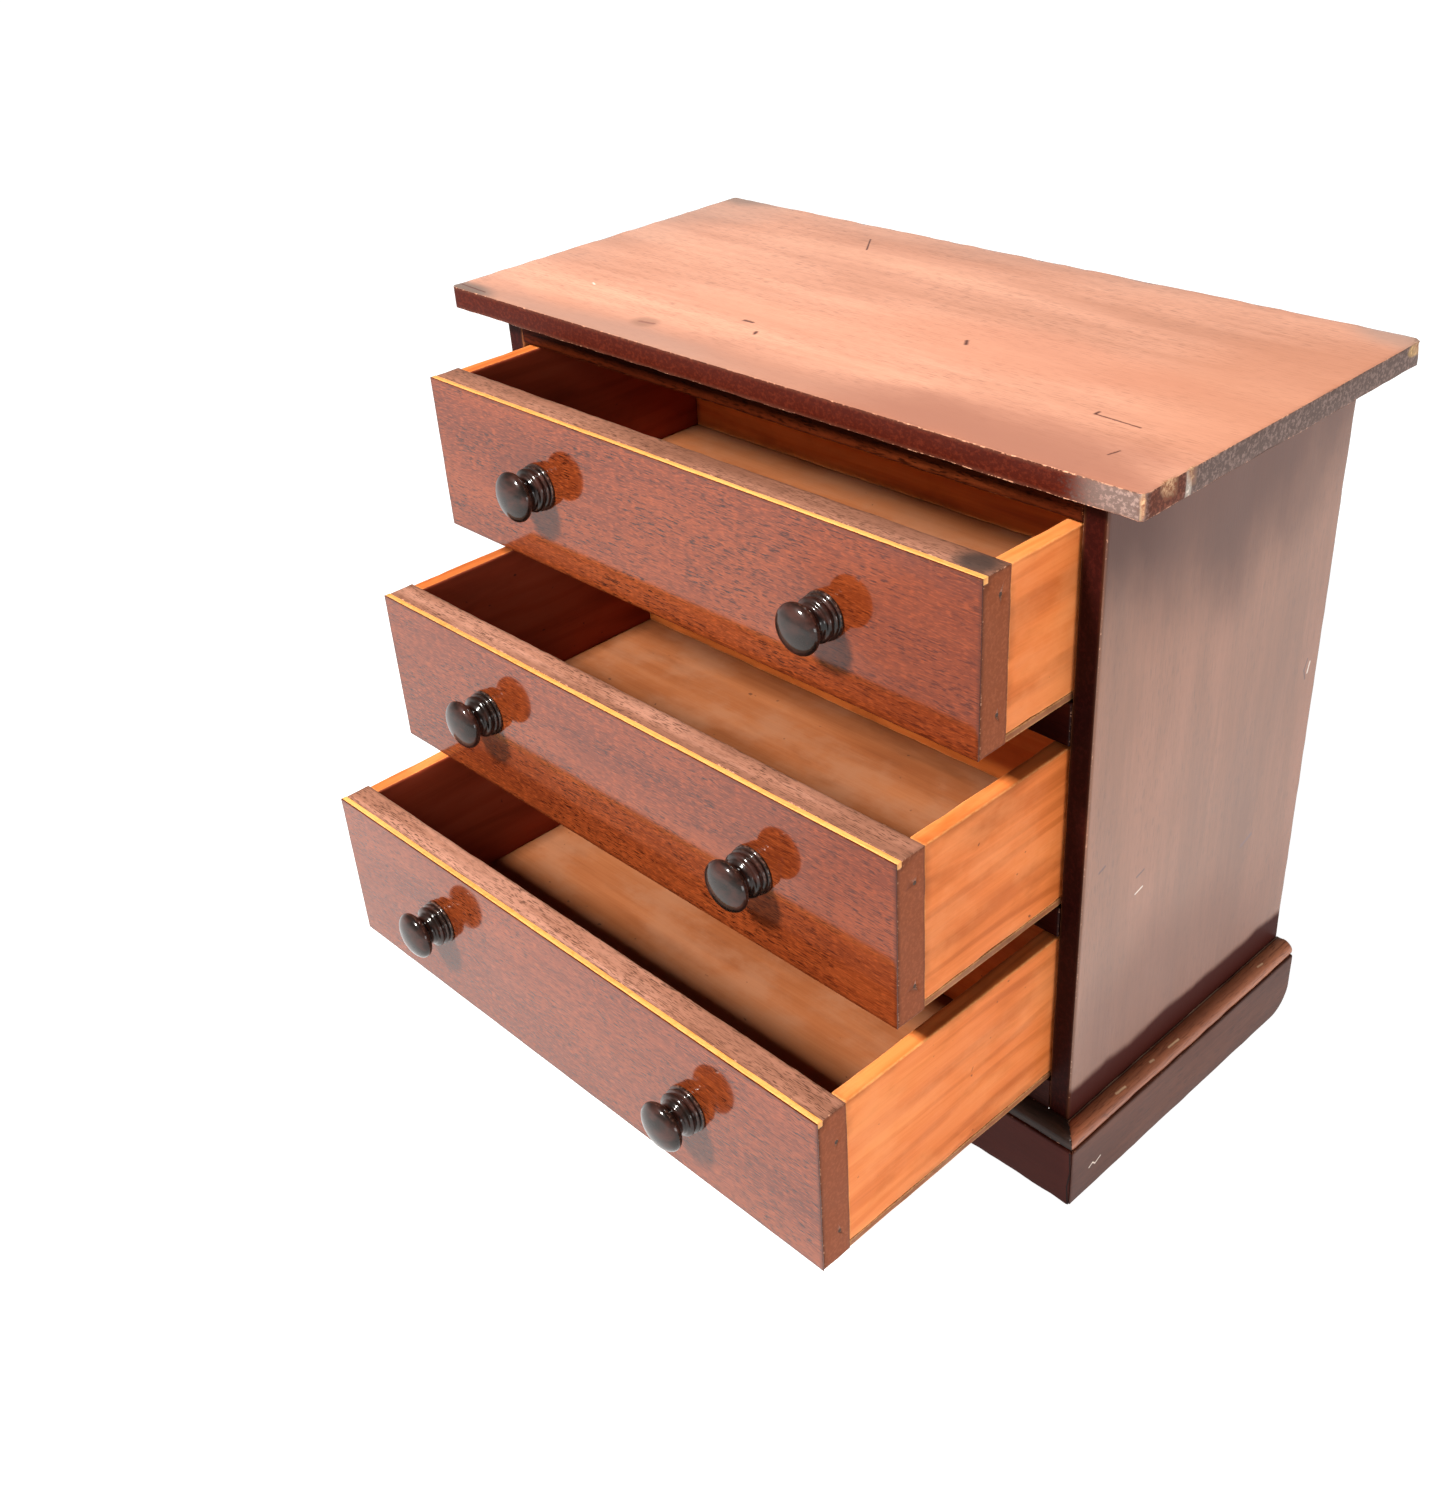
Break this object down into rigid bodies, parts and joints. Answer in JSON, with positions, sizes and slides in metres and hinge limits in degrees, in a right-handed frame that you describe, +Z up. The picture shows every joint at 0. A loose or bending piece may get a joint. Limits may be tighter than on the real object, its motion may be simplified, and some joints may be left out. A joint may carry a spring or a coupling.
{
  "type": "miniature chest of drawers",
  "caption": "Small free-standing mahogany chest with three long sliding drawers, turned knobs, an overhanging top and a moulded plinth.",
  "frame": {"origin": "middle of the front plinth board's underside, on the surface the chest stands on", "axes": "+Z up; the drawer fronts face -Y; +X is on the right of someone facing the fronts"},
  "size_m": [0.305, 0.265, 0.274],
  "materials": {
    "top_mahogany": "french polish, worn and scratched, pale at the chipped corners",
    "side_mahogany": "dark french polish with a soft sheen, upright grain",
    "rail_mahogany": "thin dull polish",
    "plinth_mahogany": "dark french polish, rubbed along the arrises",
    "moulding_mahogany": "french polish with small pale nicks",
    "front_veneer": "glossy french polish over fine dark pores",
    "front_core": "dull dark stain",
    "line_wood": "pale wood, polished",
    "drawer_pine": "bare pine, aged orange-brown",
    "drawer_bottom_pine": "bare pine, dusty and stained",
    "hidden_pine": "bare pine, darkened with age",
    "ebonised_knob": "black-brown stain and hard polish",
    "iron": "dark oxide"
  },
  "bodies": {
    "carcass": {"top_board": "top_mahogany", "left_side": "side_mahogany", "right_side": "side_mahogany", "back_panel": "hidden_pine", "back_panel_pins": "iron", "top_rail": "rail_mahogany", "upper_rail": "rail_mahogany", "lower_rail": "rail_mahogany", "bottom_board": "hidden_pine", "upper_left_runner": "hidden_pine", "upper_right_runner": "hidden_pine", "lower_left_runner": "hidden_pine", "lower_right_runner": "hidden_pine", "plinth_front": "plinth_mahogany", "plinth_left": "plinth_mahogany", "plinth_right": "plinth_mahogany", "moulding_front": "moulding_mahogany", "moulding_left": "moulding_mahogany", "moulding_right": "moulding_mahogany", "glue_blocks": "hidden_pine"},
    "bottom_drawer": {"bottom_drawer_front": "front_core", "bottom_drawer_veneer": "front_veneer", "bottom_drawer_line": "line_wood", "bottom_drawer_left_side": "drawer_pine", "bottom_drawer_right_side": "drawer_pine", "bottom_drawer_back": "drawer_pine", "bottom_drawer_bottom": "drawer_bottom_pine", "bottom_drawer_left_knob": "ebonised_knob", "bottom_drawer_right_knob": "ebonised_knob", "bottom_drawer_pins": "iron"},
    "middle_drawer": {"middle_drawer_front": "front_core", "middle_drawer_veneer": "front_veneer", "middle_drawer_line": "line_wood", "middle_drawer_left_side": "drawer_pine", "middle_drawer_right_side": "drawer_pine", "middle_drawer_back": "drawer_pine", "middle_drawer_bottom": "drawer_bottom_pine", "middle_drawer_left_knob": "ebonised_knob", "middle_drawer_right_knob": "ebonised_knob", "middle_drawer_pins": "iron"},
    "top_drawer": {"top_drawer_front": "front_core", "top_drawer_veneer": "front_veneer", "top_drawer_line": "line_wood", "top_drawer_left_side": "drawer_pine", "top_drawer_right_side": "drawer_pine", "top_drawer_back": "drawer_pine", "top_drawer_bottom": "drawer_bottom_pine", "top_drawer_left_knob": "ebonised_knob", "top_drawer_right_knob": "ebonised_knob", "top_drawer_pins": "iron"}
  },
  "joints": [
    {"name": "bottom_drawer_slide", "type": "slide", "parent": "carcass", "child": "bottom_drawer", "axis": [0, -1, 0], "range_m": [-0.113, 0.003]},
    {"name": "middle_drawer_slide", "type": "slide", "parent": "carcass", "child": "middle_drawer", "axis": [0, -1, 0], "range_m": [-0.078, 0.038]},
    {"name": "top_drawer_slide", "type": "slide", "parent": "carcass", "child": "top_drawer", "axis": [0, -1, 0], "range_m": [-0.043, 0.073]}
  ]
}
